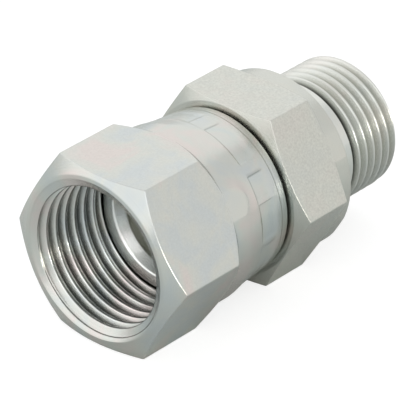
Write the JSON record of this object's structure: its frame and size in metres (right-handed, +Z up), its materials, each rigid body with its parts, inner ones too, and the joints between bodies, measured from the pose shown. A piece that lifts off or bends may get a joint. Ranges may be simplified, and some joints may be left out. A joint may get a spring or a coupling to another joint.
{
  "type": "flare swivel adapter fitting",
  "caption": "Straight steel hydraulic adapter: a hexagon swivel nut with internal thread and cone seat turns on a hexagon body with a collar and an externally threaded stud.",
  "frame": {"origin": "on the surface under both hexagons' bottom flats, below the middle of the adapter's length", "axes": "+X along the adapter's axis from the nut's mouth to the stud's end, +Z up from a hexagon flat, +Y across the flats' corners"},
  "size_m": [0.0442, 0.0254, 0.022],
  "materials": {
    "body_steel": "satin clear zinc plating over turned steel",
    "nut_steel": "satin clear zinc plating over turned steel"
  },
  "bodies": {
    "body": {"fitting_body": "body_steel"},
    "nut": {"swivel_nut": "nut_steel"}
  },
  "joints": [
    {"name": "nut_swivel", "type": "hinge", "parent": "body", "child": "nut", "pos_m": [-0.0115, 0, 0.011], "axis": [1, 0, 0], "continuous": true}
  ]
}
